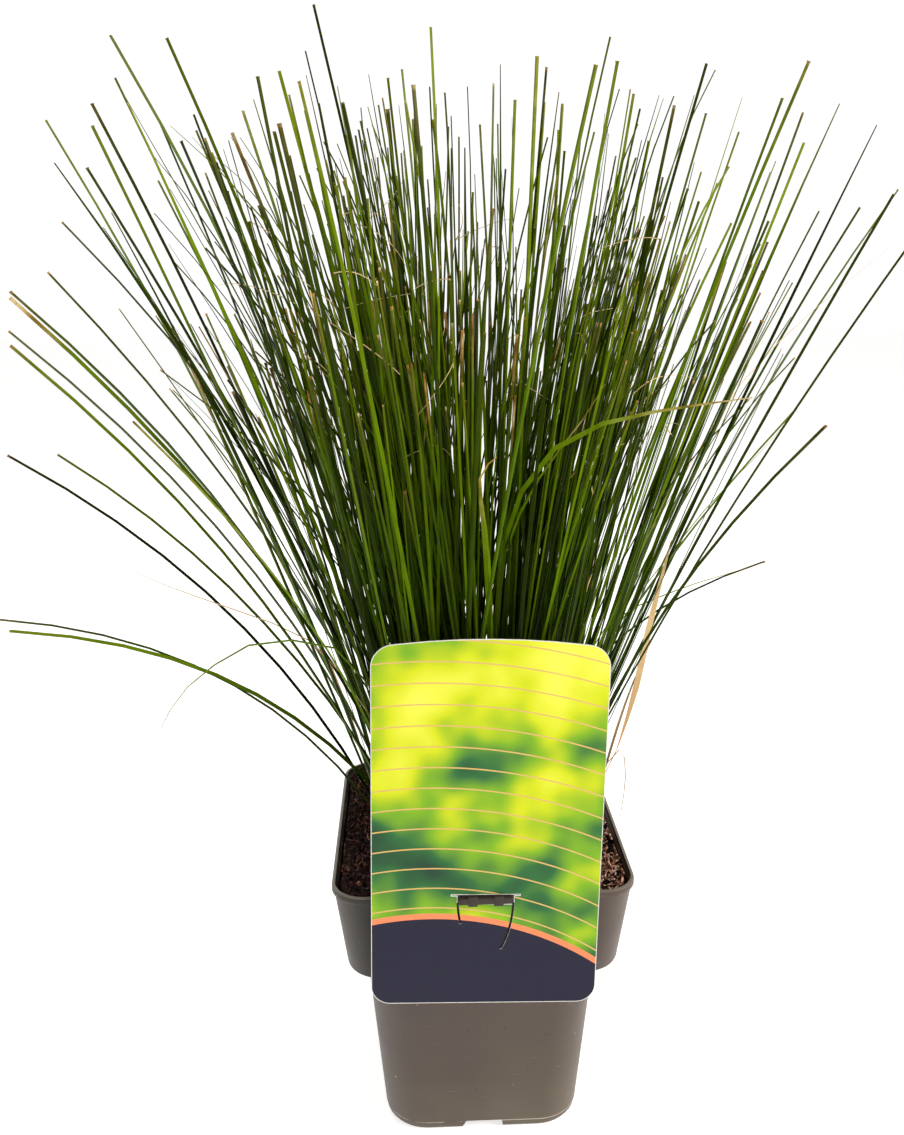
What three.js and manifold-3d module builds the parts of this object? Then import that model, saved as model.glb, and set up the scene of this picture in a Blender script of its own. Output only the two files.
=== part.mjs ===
// A carex sedge, an ornamental grass, in a square nursery pot with a hanging label.
// Millimetres, +Z up. The origin is on the pot's axis, on the surface that it stands on.
// The pot's front, where the label hangs, faces -Y, and +X is to the right of it.

import * as THREE from 'three';
import { mergeVertices } from 'three/addons/utils/BufferGeometryUtils.js';
import Module from 'manifold-3d';

const wasm = await Module();
wasm.setup();

// ---- Pot: thin moulded plastic, a tapered body under a wide collar ----
const POT_HEIGHT = 136;
const RIM_WIDTH = 130;
const RIM_CORNER = 14;
const LIP_HEIGHT = 3;
const LIP_DEPTH = 0.8; // how far the lip stands out from the collar
const COLLAR_HEIGHT = 42;
const COLLAR_WIDTH = 119.5; // across the collar's lower edge
const BODY_WIDTH = 104; // across the body's top, under the collar
const BODY_CORNER = 17;
const BASE_WIDTH = 90;
const BASE_CORNER = 19.5;
const WALL = 1.4;
const EDGE_ROUND = 1.5;
const FOOT_HEIGHT = 4.5; // four feet, with a drainage channel crossing between them
const CHANNEL_WIDTH = 19;
const DRAIN_RADIUS = 4.5;
const DRAIN_SIDES = 12;
const DRAIN_DISTANCE = 27; // of a hole from the pot's axis, along a channel
const CORNER_STEPS = 4; // flat steps round each corner of the pot and of the label

// ---- Label lug: a small tab on the rim that the label's window hangs on ----
const LUG_WIDTH = 22.4;
const LUG_HEIGHT = 3.1;
const LUG_PROUD = 1.1; // it stands out in front of the card by this much
const NUB_WIDTH = 4;
const NUB_RISE = 0.8; // a nub above and below the lug keeps the label on
const NUB_DISTANCE = 5.4; // of a nub from the lug's middle

// ---- Label: a thin printed card ----
const LABEL_WIDTH = 95.5;
const LABEL_BELOW = 49; // from the rim's lug down to the card's lower edge
const LABEL_ABOVE = 110; // and up to its upper corners
const LABEL_ARCH = 3.6; // the upper edge is bowed by this much
const LABEL_CORNER = 8;
const LABEL_THICKNESS = 0.8;
const LABEL_LEAN = THREE.MathUtils.degToRad(2); // back, towards the leaves
const LABEL_TURN = THREE.MathUtils.degToRad(1.5); // it hangs a little askew
const WINDOW_CLEARANCE = 0.6; // round the lug
const CUT_WIDTH = 0.5; // of the cuts that free the tongue under the window
const SIDE_CUT = 2.5; // length of the short cut beside each upper corner of the window
const RIGHT_CUT_END = { x: 7, z: -24 }; // from the lug's middle
const LEFT_CUT_END = { x: -10.5, z: -12 };
const GAP = 0.3; // between pieces that touch

// ---- Soil ----
const SOIL_TOP = 127;
const SOIL_RELIEF = 1.6;
const SOIL_BUMP = 5.3; // a sixth of the distance from bump to bump
const SOIL_CELLS = 9; // of the bumpy surface, along each side

// ---- Shoots: each is a sheathed stem base with its leaves ----
const SHOOTS = 44;
const CROWN_RADIUS = 41;
const GOLDEN_ANGLE = Math.PI * (3 - Math.sqrt(5));
const ROOT_JITTER = 1;
const SHEATH_RADIUS = 2.8;
const SHEATH_TIP_SHARE = 0.75; // of that radius, at the sheath's top
const SHEATH_DEPTH = 20; // below the soil
const SHEATH_HEIGHT = 24; // above the soil
const SHEATH_LEAN = 1.1; // its top stands this much further out than its foot
const SHEATH_SIDES = 6;

// Each draw has a seed of its own, so that one leaf's tries don't change the next leaf.
const SHOOT_SEED = 1000;
const LEADING_SEED = 5000;
const LEAF_SEED = 100000;
const SEED_STEP = 1000;

// ---- Leaves: narrow, keeled and cut blunt at the tip ----
const LEAF_WIDTH = 1.8;
const LEAF_WIDEST = 1.1; // share of that width
const LEAF_NARROWEST = 0.8;
const LEADING_NARROWEST = 0.9; // of the leaves that make the outline
const LEAF_THICKNESS = 0.9;
const TIP_SHARE = 0.72; // of that width and thickness, at the tip
const ROOT_RISE = 4; // of a leaf's root above the soil, inside the sheath
const ROOT_SPREAD = 1.3; // of a leaf's root from the sheath's axis
const LEAF_CLEARANCE = 0.35; // between leaves of different shoots
const KEEP_OFF = 4; // the leaves stay this far from the label and the pot's rim
const PROBES = 12; // along each straight step of a leaf, where that is tested
const LEAVES_PER_SHOOT = 7; // besides the leading leaves
const TRIES = 60; // at a clear way for a leaf
const UPRIGHT_SHARE = 0.4; // the last try leans less than the first by this share

// Where most leaves end: two thirds were trimmed and stand close, and the others are full
// length. Scatter is the most that a leaf departs from the crown's even fan.
const TRIMMED_SHARE = 0.68;
const TRIMMED = { low: 336, high: 390, scatter: 0.17 };
const LONG = { low: 392, high: 464, scatter: 0.3 };
const FAN = 0.2; // sideways travel of the outermost shoots' leaves, for each mm that they rise
const PARTING = 5; // the crown is two bunches, which part at this x
const LEFT_DRIFT = -0.02;
const RIGHT_DRIFT = 0.1;
const LEAF_ARCH = 0.4;
const BEND_INSET = 0.05; // a full arch turns over this share of its way before halfway out
const STRAIGHT_ARCH = 0.2; // a leaf that arches less has two straight steps
const ARCH_STEPS = 3; // one that arches has these, and as many again for a full arch
const SIDE_REACH = 202; // no other leaf reaches as far as the leading ones
const DEPTH_REACH = 126;

// How a leading leaf finds its shoot: the nearest to a point that lies this share of the way
// from the crown's middle to under its tip, out of the nearest few, and less so for a shoot
// that already has one.
const LEADING_AIM = 0.22;
const LEADING_CHOICE = 6;
const LEADING_CROWDING = 9;
const LEADING_SHIFT = 0.2; // each try also moves the tip a little further, in y

// The leading leaves, which make the outline: x, y and z of each tip, and how far the leaf
// arches over, from 0 for a straight leaf to 1 for one that ends level.
const LEADING = [
  // low on the left
  [-205, -20, 247, 1.0], [-188, -50, 252, 0.95], [-195, -10, 315, 0.6], [-184, 20, 310, 0.55],
  [-200, 30, 380, 0.5], [-183, -20, 379, 0.45], [-192, 0, 365, 0.5], [-178, -40, 362, 0.45],
  [-186, 40, 388, 0.35], [-131, -60, 376, 0.25], [-135, 40, 361, 0.25], [-126, 20, 358, 0.3],
  [-129, 60, 364, 0.2], [-114, 0, 366, 0.25], [-108, -20, 349, 0.2],
  // high on the left
  [-168, 0, 446, 0.3], [-146, -30, 426, 0.25], [-160, 40, 457, 0.25], [-145, 20, 480, 0.4],
  [-154, 60, 470, 0.3], [-124, -50, 446, 0.2], [-122, -20, 422, 0.2], [-130, 60, 486, 0.4],
  [-115, 30, 445, 0.15], [-94, 60, 461, 0.2], [-91, 0, 449, 0.15], [-91, -30, 438, 0.2],
  [-81, 50, 471, 0.1], [-67, 20, 465, 0.1], [-60, -20, 483, 0.15], [-42, 40, 468, 0.1],
  // the middle
  [-28, 80, 476, 0.2], [-33, -40, 455, 0.1], [-15, 60, 490, 0.1], [13, 60, 467, 0.1],
  [21, -40, 462, 0.1], [47, -60, 457, 0.25], [36, 0, 451, 0.1], [15, -20, 450, 0.1],
  // high on the right
  [74, 50, 461, 0.1], [65, -30, 434, 0.15], [90, 40, 455, 0.15], [94, 0, 447, 0.15],
  [122, 50, 445, 0.2], [131, 20, 455, 0.15], [136, 40, 432, 0.2], [159, 30, 454, 0.2],
  // low on the right
  [205, 70, 421, 0.3], [150, 20, 410, 0.25], [116, -20, 397, 0.15], [144, 30, 380, 0.2],
  [135, 60, 361, 0.2], [102, -50, 368, 0.2], [150, 30, 324, 0.35], [100, -60, 340, 1.1],
  [137, 20, 254, 0.9],
  // towards the front and the back
  [-112, -130, 345, 0.5], [104, -128, 340, 0.5], [-36, 130, 425, 0.3], [52, 128, 418, 0.3],
];

// The dry leaves at the crown's edge: x and y of each root, then the tip as above.
const DRY = [
  [50, -12, 84, -14, 243, 0.35],
  [-47, 22, -122, 70, 300, 0.5],
  [38, 34, 98, 82, 372, 0.3],
  [-20, 47, -48, 118, 348, 0.5],
];
const DRY_SHEATH_RADIUS = 1.5;
const DRY_LEAF_WIDTH = 2.2;

const MATERIALS = {
  pot: new THREE.MeshStandardMaterial({ color: 0x57514b, roughness: 0.45 }),
  soil: new THREE.MeshStandardMaterial({ color: 0x24140d, roughness: 0.95 }),
  label: new THREE.MeshStandardMaterial({ color: 0x9fc21e, roughness: 0.3 }),
  leaf: new THREE.MeshStandardMaterial({ color: 0x46661a, roughness: 0.5 }),
  dryLeaf: new THREE.MeshStandardMaterial({ color: 0xb07a45, roughness: 0.7 }),
};

const SAME_PLACE = 1e-5; // points nearer than this are one
const PARALLEL = 1e-9; // two pieces side by side spread less than this

// ---- Helpers ----

// A closed skin over rings of points, each counterclockwise from above, lowest ring first.
function skin(rings) {
  const count = rings[0].length;
  const positions = rings.flat().flatMap((point) => point.toArray());
  const faces = [];
  for (let ring = 0; ring + 1 < rings.length; ring++) {
    for (let i = 0; i < count; i++) {
      const a = ring * count + i;
      const b = ring * count + ((i + 1) % count);
      faces.push(a, b, b + count, a, b + count, a + count);
    }
  }
  const top = (rings.length - 1) * count;
  for (let i = 1; i + 1 < count; i++) {
    faces.push(0, i + 1, i, top, top + i, top + i + 1);
  }
  const geometry = new THREE.BufferGeometry();
  geometry.setAttribute('position', new THREE.Float32BufferAttribute(positions, 3));
  geometry.setIndex(faces);
  return geometry;
}

function solidOf(geometry) {
  geometry.deleteAttribute('normal');
  geometry.deleteAttribute('uv');
  const merged = mergeVertices(geometry, SAME_PLACE);
  const vertProperties = new Float32Array(merged.getAttribute('position').array);
  const triVerts = new Uint32Array(merged.getIndex().array);
  return new wasm.Manifold(new wasm.Mesh({ numProp: 3, vertProperties, triVerts }));
}

function geometryOf(solid) {
  const { vertProperties, triVerts } = solid.getMesh();
  const geometry = new THREE.BufferGeometry();
  geometry.setAttribute('position', new THREE.BufferAttribute(vertProperties, 3));
  geometry.setIndex(new THREE.BufferAttribute(triVerts, 1));
  geometry.computeVertexNormals();
  return geometry;
}

function named(name, solid, material) {
  const mesh = new THREE.Mesh(geometryOf(solid), material);
  mesh.name = name;
  return mesh;
}

// A box between two corners.
function block(low, high) {
  const size = new THREE.Vector3().subVectors(high, low);
  const middle = new THREE.Vector3().addVectors(low, high).divideScalar(2);
  return solidOf(new THREE.BoxGeometry(...size).translate(...middle));
}

// An upright prism with its axis at x and y.
function post(x, y, bottom, top, radius, sides) {
  const height = top - bottom;
  const geometry = new THREE.CylinderGeometry(radius, radius, height, sides);
  return solidOf(geometry.rotateX(Math.PI / 2).translate(x, y, bottom + height / 2));
}

// A seeded 32-bit generator: each shoot and each try at a leaf has a stream of its own.
function drawsFrom(seed) {
  let state = seed >>> 0;
  return () => {
    state = (state + 0x6d2b79f5) >>> 0;
    let mixed = Math.imul(state ^ (state >>> 15), state | 1);
    mixed ^= mixed + Math.imul(mixed ^ (mixed >>> 7), mixed | 61);
    return ((mixed ^ (mixed >>> 14)) >>> 0) / 4294967296;
  };
}

const mix = (from, to, share) => from + (to - from) * share;
const clamp = (value) => Math.min(1, Math.max(0, value));

// ---- Pot and soil ----

// A square ring with round corners.
function squareRing(z, half, corner) {
  const ring = [];
  for (let quarter = 0; quarter < 4; quarter++) {
    for (let step = 0; step <= CORNER_STEPS; step++) {
      const turn = (quarter + step / CORNER_STEPS) * (Math.PI / 2);
      const middle = (quarter + 0.5) * (Math.PI / 2);
      const x = Math.SQRT2 * (half - corner) * Math.cos(middle) + corner * Math.cos(turn);
      const y = Math.SQRT2 * (half - corner) * Math.sin(middle) + corner * Math.sin(turn);
      ring.push(new THREE.Vector3(x, y, z));
    }
  }
  return ring;
}

const shoulder = POT_HEIGHT - COLLAR_HEIGHT;
const rimHalf = RIM_WIDTH / 2;
const collarTop = rimHalf - LIP_DEPTH;

function potOutside() {
  const base = BASE_WIDTH / 2;
  const body = BODY_WIDTH / 2;
  const collar = COLLAR_WIDTH / 2;
  const lip = POT_HEIGHT - LIP_HEIGHT;
  return solidOf(skin([
    squareRing(0, base - EDGE_ROUND, BASE_CORNER - EDGE_ROUND),
    squareRing(EDGE_ROUND, base, BASE_CORNER),
    squareRing(shoulder - EDGE_ROUND, body, BODY_CORNER),
    squareRing(shoulder - EDGE_ROUND, collar - EDGE_ROUND, RIM_CORNER),
    squareRing(shoulder, collar, RIM_CORNER + EDGE_ROUND),
    squareRing(lip, collarTop, RIM_CORNER - LIP_DEPTH),
    squareRing(lip, rimHalf, RIM_CORNER),
    squareRing(POT_HEIGHT - LIP_DEPTH / 2, rimHalf, RIM_CORNER),
    squareRing(POT_HEIGHT, rimHalf - LIP_DEPTH / 2, RIM_CORNER - LIP_DEPTH / 2),
  ]));
}

// The pot's inside, smaller by a margin all round, up to a height.
function potInside(margin, top) {
  const wall = WALL + margin;
  const base = BASE_WIDTH / 2 - wall;
  const body = BODY_WIDTH / 2 - wall;
  const collar = COLLAR_WIDTH / 2 - wall;
  const ledge = shoulder + wall;
  const mouth = mix(collar, collarTop - wall, (top - ledge) / (POT_HEIGHT - ledge));
  const inside = solidOf(skin([
    squareRing(wall, base, BASE_CORNER - wall),
    squareRing(ledge - EDGE_ROUND, body, BODY_CORNER - wall),
    squareRing(ledge, collar, RIM_CORNER - wall),
    squareRing(top, mouth, RIM_CORNER - wall),
  ]));
  return channels(WALL + margin).reduce((rest, channel) => rest.subtract(channel), inside);
}

// The two channels under the pot, crossing at its axis, larger by a margin.
function channels(margin) {
  const half = CHANNEL_WIDTH / 2 + margin;
  const top = FOOT_HEIGHT + margin;
  return [[rimHalf, half], [half, rimHalf]].map(
    ([x, y]) => block(new THREE.Vector3(-x, -y, -1), new THREE.Vector3(x, y, top)));
}

function labelLug() {
  const top = POT_HEIGHT;
  const back = -rimHalf + LIP_DEPTH;
  const nubBack = -rimHalf - LABEL_THICKNESS - 2 * GAP;
  const front = nubBack - LUG_PROUD;
  const tab = block(
    new THREE.Vector3(-LUG_WIDTH / 2, front, top - LUG_HEIGHT),
    new THREE.Vector3(LUG_WIDTH / 2, back, top));
  const nubs = [-NUB_DISTANCE, NUB_DISTANCE].map((x) => block(
    new THREE.Vector3(x - NUB_WIDTH / 2, front, top - LUG_HEIGHT - NUB_RISE),
    new THREE.Vector3(x + NUB_WIDTH / 2, nubBack, top + NUB_RISE)));
  return nubs.reduce((lug, nub) => lug.add(nub), tab);
}

// Five drain holes lie in the channels: one on the pot's axis and one in each arm.
function drainHoles() {
  const places = [[0, 0], [1, 0], [0, 1], [-1, 0], [0, -1]];
  return places.map(([x, y]) => post(
    x * DRAIN_DISTANCE, y * DRAIN_DISTANCE, 0, FOOT_HEIGHT + 2 * WALL, DRAIN_RADIUS, DRAIN_SIDES));
}

function potSolid() {
  const cuts = [potInside(0, POT_HEIGHT + 1), ...channels(0), ...drainHoles()];
  return cuts.reduce((pot, cut) => pot.subtract(cut), potOutside()).add(labelLug());
}

// The soil fills the pot to just under its rim, and the stems stand in plain holes in it.
function soilSolid(stems) {
  const width = RIM_WIDTH;
  const surface = new THREE.BoxGeometry(width, width, POT_HEIGHT, SOIL_CELLS, SOIL_CELLS, 1);
  surface.translate(0, 0, SOIL_TOP - POT_HEIGHT / 2);
  const points = surface.getAttribute('position');
  for (let i = 0; i < points.count; i++) {
    if (points.getZ(i) < SOIL_TOP - 1) continue;
    const [x, y] = [points.getX(i), points.getY(i)];
    const bump = Math.sin((x + y / 2) / SOIL_BUMP) + Math.cos((y - x / 3) / SOIL_BUMP);
    points.setZ(i, SOIL_TOP + (SOIL_RELIEF * bump) / 2);
  }
  const fill = potInside(GAP, POT_HEIGHT).intersect(solidOf(surface));
  const flatGap = GAP / Math.cos(Math.PI / SHEATH_SIDES); // the holes have flat sides
  const holes = stems.map(({ x, y, radius }) => post(
    x, y, SOIL_TOP - SHEATH_DEPTH - GAP, POT_HEIGHT, radius + flatGap, SHEATH_SIDES));
  return holes.reduce((soil, hole) => soil.subtract(hole), fill);
}

// ---- Label ----

function labelSolid() {
  const half = LABEL_WIDTH / 2;
  const straight = half - LABEL_CORNER;
  const card = new THREE.Shape();
  card.absarc(straight, LABEL_CORNER - LABEL_BELOW, LABEL_CORNER, -Math.PI / 2, 0);
  card.absarc(straight, LABEL_ABOVE - LABEL_CORNER, LABEL_CORNER, 0, Math.PI / 2);
  card.quadraticCurveTo(0, LABEL_ABOVE + 2 * LABEL_ARCH, -straight, LABEL_ABOVE);
  card.absarc(-straight, LABEL_ABOVE - LABEL_CORNER, LABEL_CORNER, Math.PI / 2, Math.PI);
  card.absarc(-straight, LABEL_CORNER - LABEL_BELOW, LABEL_CORNER, Math.PI, 1.5 * Math.PI);

  // The window fits round the lug. A cut runs down from each of its lower corners and frees
  // a tongue, which snaps back behind the lug, and a short cut runs out from each upper one.
  const side = LUG_WIDTH / 2 + WINDOW_CLEARANCE;
  const upper = LUG_HEIGHT / 2 + WINDOW_CLEARANCE;
  const outer = side + SIDE_CUT;
  const [right, left] = [RIGHT_CUT_END, LEFT_CUT_END];
  const outline = [
    [-outer, upper], [outer, upper], [outer, upper - CUT_WIDTH], [side, upper - CUT_WIDTH],
    [side, -upper], [right.x, right.z], [right.x - CUT_WIDTH, right.z], [side - CUT_WIDTH, -upper],
    [CUT_WIDTH - side, -upper], [left.x + CUT_WIDTH, left.z], [left.x, left.z], [-side, -upper],
    [-side, upper - CUT_WIDTH], [-outer, upper - CUT_WIDTH],
  ];
  card.holes.push(new THREE.Path(outline.map(([x, z]) => new THREE.Vector2(x, z))));
  const geometry = new THREE.ExtrudeGeometry(card, {
    depth: LABEL_THICKNESS, bevelEnabled: false, curveSegments: CORNER_STEPS,
  });
  geometry.rotateX(Math.PI / 2).rotateY(LABEL_TURN).rotateX(-LABEL_LEAN);
  geometry.translate(0, -rimHalf - GAP, POT_HEIGHT - LUG_HEIGHT / 2);
  return solidOf(geometry);
}

// ---- Shoots: where they stand and where their leaves go ----

// The roots follow a sunflower's spiral, so they stand evenly all over the crown.
function placeShoots() {
  return Array.from({ length: SHOOTS }, (_, i) => {
    const draw = drawsFrom(SHOOT_SEED + i);
    const distance = CROWN_RADIUS * Math.sqrt((i + 0.5) / SHOOTS);
    const x = distance * Math.cos(i * GOLDEN_ANGLE) + ROOT_JITTER * (2 * draw() - 1);
    const y = distance * Math.sin(i * GOLDEN_ANGLE) + ROOT_JITTER * (2 * draw() - 1);
    return { x, y, radius: SHEATH_RADIUS, leaves: [], leading: 0 };
  });
}

// A leaf of a shoot: it rises from inside the sheath and arches over to its tip, in more
// straight steps the more it arches.
function leafTo(shoot, tip, arch, width) {
  const bearing = Math.atan2(tip.y - shoot.y, tip.x - shoot.x);
  const root = new THREE.Vector3(
    shoot.x + ROOT_SPREAD * Math.cos(bearing),
    shoot.y + ROOT_SPREAD * Math.sin(bearing),
    SOIL_TOP + ROOT_RISE);
  const bend = new THREE.Vector3(
    mix(root.x, tip.x, 0.5 - BEND_INSET * arch),
    mix(root.y, tip.y, 0.5 - BEND_INSET * arch),
    mix(root.z, tip.z, 0.5 + 0.5 * arch));
  const steps = arch < STRAIGHT_ARCH ? 2 : ARCH_STEPS + Math.round(ARCH_STEPS * arch * arch);
  const points = new THREE.QuadraticBezierCurve3(root, bend, tip).getPoints(steps);
  return { points, width, bearing };
}

// The least distance between two straight pieces, a to b and c to d.
function pieceDistance(a, b, c, d) {
  const [ux, uy, uz] = [b.x - a.x, b.y - a.y, b.z - a.z];
  const [vx, vy, vz] = [d.x - c.x, d.y - c.y, d.z - c.z];
  const [wx, wy, wz] = [a.x - c.x, a.y - c.y, a.z - c.z];
  const uu = ux * ux + uy * uy + uz * uz;
  const vv = vx * vx + vy * vy + vz * vz;
  const uv = ux * vx + uy * vy + uz * vz;
  const uw = ux * wx + uy * wy + uz * wz;
  const vw = vx * wx + vy * wy + vz * wz;
  const spread = uu * vv - uv * uv;
  let s = spread > PARALLEL ? clamp((uv * vw - vv * uw) / spread) : 0;
  const t = clamp((uv * s + vw) / vv);
  s = clamp((uv * t - uw) / uu);
  return Math.hypot(wx + s * ux - t * vx, wy + s * uy - t * vy, wz + s * uz - t * vz);
}

// Whether two runs of points come nearer to each other than the room that they need.
function runsTouch(run, other, room) {
  for (let i = 0; i + 1 < run.length; i++) {
    for (let j = 0; j + 1 < other.length; j++) {
      if (pieceDistance(run[i], run[i + 1], other[j], other[j + 1]) < room) return true;
    }
  }
  return false;
}

// The sheath leans out a little, as its leaves do.
function sheathAxis({ x, y }) {
  const top = new THREE.Vector3(SHEATH_LEAN * x, SHEATH_LEAN * y, SOIL_TOP + SHEATH_HEIGHT);
  return [new THREE.Vector3(x, y, SOIL_TOP), top];
}

const labelTop = POT_HEIGHT + LABEL_ABOVE + LABEL_ARCH + KEEP_OFF;
const labelSide = LABEL_WIDTH / 2 + KEEP_OFF;
const labelBack = rimHalf - LABEL_ABOVE * Math.sin(LABEL_LEAN) - KEEP_OFF; // at its leaning top

// Points all along a leaf as it is built, in straight steps.
function probes({ points }) {
  return points.slice(1).flatMap((point, i) => Array.from(
    { length: PROBES }, (_, k) => points[i].clone().lerp(point, (k + 1) / PROBES)));
}

// Whether a leaf keeps clear of the label, the pot's rim and every other shoot.
function isClear(leaf, shoot, standing) {
  const behindRim = rimHalf - WALL - KEEP_OFF;
  for (const { x, y, z } of probes(leaf)) {
    if (Math.abs(x) < labelSide && z < labelTop && y < -labelBack) return false;
    if (z < POT_HEIGHT + KEEP_OFF && Math.max(Math.abs(x), Math.abs(y)) > behindRim) return false;
  }
  return standing.every((other) => {
    const isOwn = other === shoot;
    const fromSheath = other.radius + leaf.width / 2 + LEAF_CLEARANCE;
    if (!isOwn && runsTouch(leaf.points, sheathAxis(other), fromSheath)) return false;
    return !other.leaves.some((grown) => {
      const fromLeaf = (leaf.width + grown.width) / 2 + LEAF_CLEARANCE;
      const first = isOwn ? 1 : 0; // leaves of one shoot meet only near their roots
      return runsTouch(leaf.points.slice(first), grown.points.slice(first), fromLeaf);
    });
  });
}

// Each leading leaf grows from a shoot on its own side that gives it a clear way.
function growLeading(shoots, standing) {
  LEADING.forEach(([x, y, z, arch], index) => {
    const draw = drawsFrom(LEADING_SEED + index);
    const detour = (shoot) => LEADING_CROWDING * shoot.leading
      + Math.hypot(shoot.x - LEADING_AIM * x, shoot.y - LEADING_AIM * y);
    const nearest = [...shoots].sort((a, b) => detour(a) - detour(b));
    for (let attempt = 0; attempt < TRIES; attempt++) {
      const shift = LEADING_SHIFT * attempt * (2 * draw() - 1);
      const width = mix(LEADING_NARROWEST, LEAF_WIDEST, draw()) * LEAF_WIDTH;
      const shoot = nearest[attempt % LEADING_CHOICE];
      const leaf = leafTo(shoot, new THREE.Vector3(x, y + shift, z), arch, width);
      if (isClear(leaf, shoot, standing)) {
        shoot.leaves.push(leaf);
        shoot.leading += 1;
        return;
      }
    }
  });
}

// One more leaf for a shoot: each try draws a new tip, a little more upright than the last.
function growOne(shoot, standing, seed) {
  for (let attempt = 0; attempt < TRIES; attempt++) {
    const draw = drawsFrom(seed + attempt);
    const { low, high, scatter } = draw() < TRIMMED_SHARE ? TRIMMED : LONG;
    const top = mix(low, high, draw());
    const travel = (top - SOIL_TOP) * (1 - (UPRIGHT_SHARE * attempt) / TRIES);
    const drift = shoot.x > PARTING ? RIGHT_DRIFT : LEFT_DRIFT;
    const leanX = (FAN * shoot.x) / CROWN_RADIUS + drift + scatter * (draw() + draw() - 1);
    const leanY = (FAN * shoot.y) / CROWN_RADIUS + scatter * (draw() + draw() - 1);
    const tip = new THREE.Vector3(shoot.x + travel * leanX, shoot.y + travel * leanY, top);
    const arch = LEAF_ARCH * draw();
    const width = mix(LEAF_NARROWEST, LEAF_WIDEST, draw()) * LEAF_WIDTH;
    const leaf = leafTo(shoot, tip, arch, width);
    const within = Math.abs(tip.x) < SIDE_REACH && Math.abs(tip.y) < DEPTH_REACH;
    if (within && isClear(leaf, shoot, standing)) {
      shoot.leaves.push(leaf);
      return;
    }
  }
}

function growAll(shoots, dry) {
  const standing = [...dry, ...shoots];
  growLeading(shoots, standing);
  for (let turn = 0; turn < LEAVES_PER_SHOOT; turn++) {
    shoots.forEach((shoot, i) => {
      growOne(shoot, standing, LEAF_SEED + SEED_STEP * (turn * SHOOTS + i));
    });
  }
}

// The dry leaves stand apart, one to a thin sheath, and take their way first.
function placeDry() {
  return DRY.map(([rootX, rootY, x, y, z, arch]) => {
    const shoot = { x: rootX, y: rootY, radius: DRY_SHEATH_RADIUS, leaves: [], leading: 0 };
    shoot.leaves.push(leafTo(shoot, new THREE.Vector3(x, y, z), arch, DRY_LEAF_WIDTH));
    return shoot;
  });
}

// ---- Shoots: their solids ----

// A keeled leaf: three-cornered in section with the keel outwards, and narrower at its tip.
function leafSolid({ points, width, bearing }) {
  const last = points.length - 1;
  const across = new THREE.Vector3(-Math.sin(bearing), Math.cos(bearing), 0);
  const rings = points.map((point, i) => {
    const before = points[Math.max(i - 1, 0)];
    const after = points[Math.min(i + 1, last)];
    const along = new THREE.Vector3().subVectors(after, before).normalize();
    const side = across.clone().addScaledVector(along, -across.dot(along)).normalize();
    const face = new THREE.Vector3().crossVectors(along, side);
    const share = mix(1, TIP_SHARE, i / last);
    const half = (share * width) / 2;
    const keel = share * LEAF_THICKNESS;
    const corner = (s, f) => point.clone().addScaledVector(side, s).addScaledVector(face, f);
    return [corner(-half, keel / 3), corner(0, (-2 * keel) / 3), corner(half, keel / 3)];
  });
  return solidOf(skin(rings));
}

// A six-sided ring for the sheath.
function stemRing(centre, radius) {
  return Array.from({ length: SHEATH_SIDES }, (_, i) => {
    const turn = (i * 2 * Math.PI) / SHEATH_SIDES + Math.PI / 2;
    return new THREE.Vector3(
      centre.x + radius * Math.cos(turn), centre.y + radius * Math.sin(turn), centre.z);
  });
}

function shootSolid(shoot) {
  const [base, top] = sheathAxis(shoot);
  const foot = base.clone().setZ(SOIL_TOP - SHEATH_DEPTH);
  const neck = base.clone().setZ(SOIL_TOP + 2 * SOIL_RELIEF);
  const sheath = solidOf(skin([
    stemRing(foot, shoot.radius),
    stemRing(neck, shoot.radius),
    stemRing(top, SHEATH_TIP_SHARE * shoot.radius),
  ]));
  return shoot.leaves.map(leafSolid).reduce((solid, leaf) => solid.add(leaf), sheath);
}

// ---- The whole plant ----

const dry = placeDry();
const shoots = placeShoots();
growAll(shoots, dry);

const sedge = new THREE.Group();
sedge.name = 'carex_sedge';
sedge.add(named('pot', potSolid(), MATERIALS.pot));
sedge.add(named('soil', soilSolid([...dry, ...shoots]), MATERIALS.soil));
sedge.add(named('label', labelSolid(), MATERIALS.label));
shoots.forEach((shoot, i) => {
  const number = String(i + 1).padStart(2, '0');
  sedge.add(named(`shoot_${number}`, shootSolid(shoot), MATERIALS.leaf));
});
dry.forEach((shoot, i) => {
  sedge.add(named(`dry_leaf_${i + 1}`, shootSolid(shoot), MATERIALS.dryLeaf));
});

export default sedge;
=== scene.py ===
# %% [markdown]
# # A carex sedge in a square nursery pot
#
# A sedge looks like a grass. It grows as a clump of shoots, and each shoot is a short sheath with
# a fan of narrow leaves, folded along the middle into a keel. Here it stands in a pot of compost
# with a printed card hung on the rim.
#
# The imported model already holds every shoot, with its leaves as straight three-sided pieces. They
# say where each leaf goes, so this script reads their lines and lays a finer blade on each.

# %% Load the frame
import math
import random
from contextlib import contextmanager
from functools import partial

import bmesh
import bpy
import numpy as np
from mathutils import Matrix, Vector


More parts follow.
